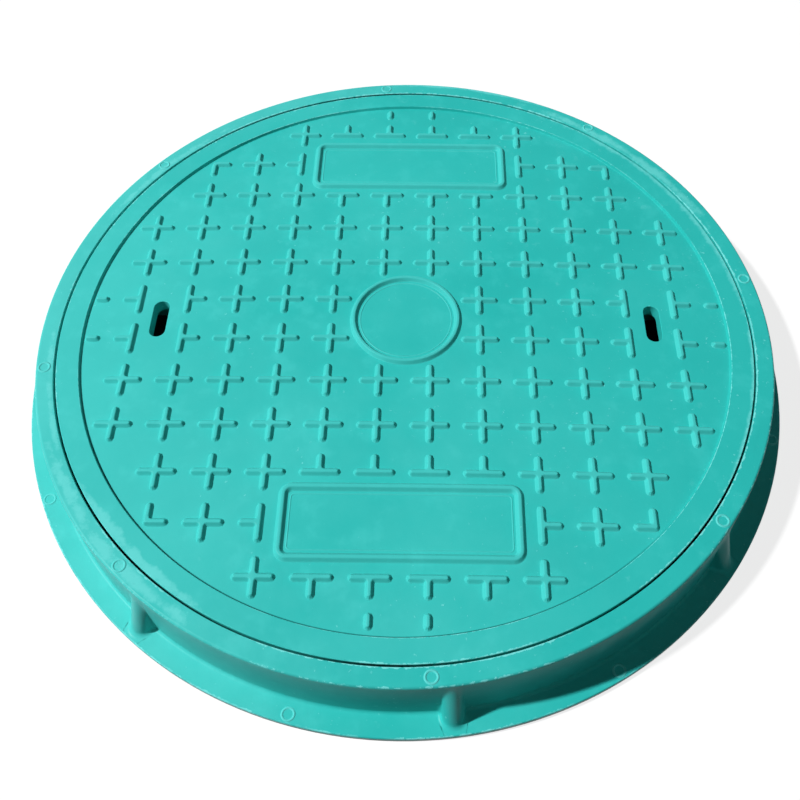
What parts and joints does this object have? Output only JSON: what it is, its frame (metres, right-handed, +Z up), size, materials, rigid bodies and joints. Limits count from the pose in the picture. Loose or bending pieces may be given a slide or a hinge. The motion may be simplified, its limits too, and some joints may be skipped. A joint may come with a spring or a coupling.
{
  "type": "manhole cover",
  "caption": "Round moulded resin manhole cover: a lid with raised crosses lies on a sealing ring in a flanged, buttressed frame.",
  "frame": {"origin": "centre of the frame's foot, on the ground", "axes": "+Z up, the way the lid lifts out; +X along the line through the two lifting slots; +Y along the line through the two bare panels"},
  "size_m": [0.8426, 0.8426, 0.0813],
  "materials": {
    "resin": "glossy moulded resin, teal green, lightly mottled and scuffed",
    "rubber": "matt black",
    "steel": "plain mild steel bar, with mill scale"
  },
  "bodies": {
    "frame": {"frame": "resin", "frame_rim_hoop": "steel", "frame_seat_hoop": "steel"},
    "seal_ring": {"seal_ring": "rubber"},
    "lid": {"lid": "resin", "lid_hoop": "steel", "lid_lower_bar_1": "steel", "lid_lower_bar_2": "steel", "lid_lower_bar_3": "steel", "lid_lower_bar_4": "steel", "lid_lower_bar_5": "steel", "lid_lower_bar_6": "steel", "lid_lower_bar_7": "steel", "lid_lower_bar_8": "steel", "lid_upper_bar_1": "steel", "lid_upper_bar_2": "steel", "lid_upper_bar_3": "steel", "lid_upper_bar_4": "steel", "lid_upper_bar_5": "steel", "lid_upper_bar_6": "steel", "lid_upper_bar_7": "steel", "lid_upper_bar_8": "steel"}
  },
  "joints": [
    {"name": "lid_turn", "type": "hinge", "parent": "frame", "child": "seal_ring", "pos_m": [0, 0, 0.026], "axis": [0, 0, 1], "continuous": true},
    {"name": "lid_lift", "type": "slide", "parent": "seal_ring", "child": "lid", "axis": [0, 0, 1], "range_m": [0, 0.15]}
  ]
}
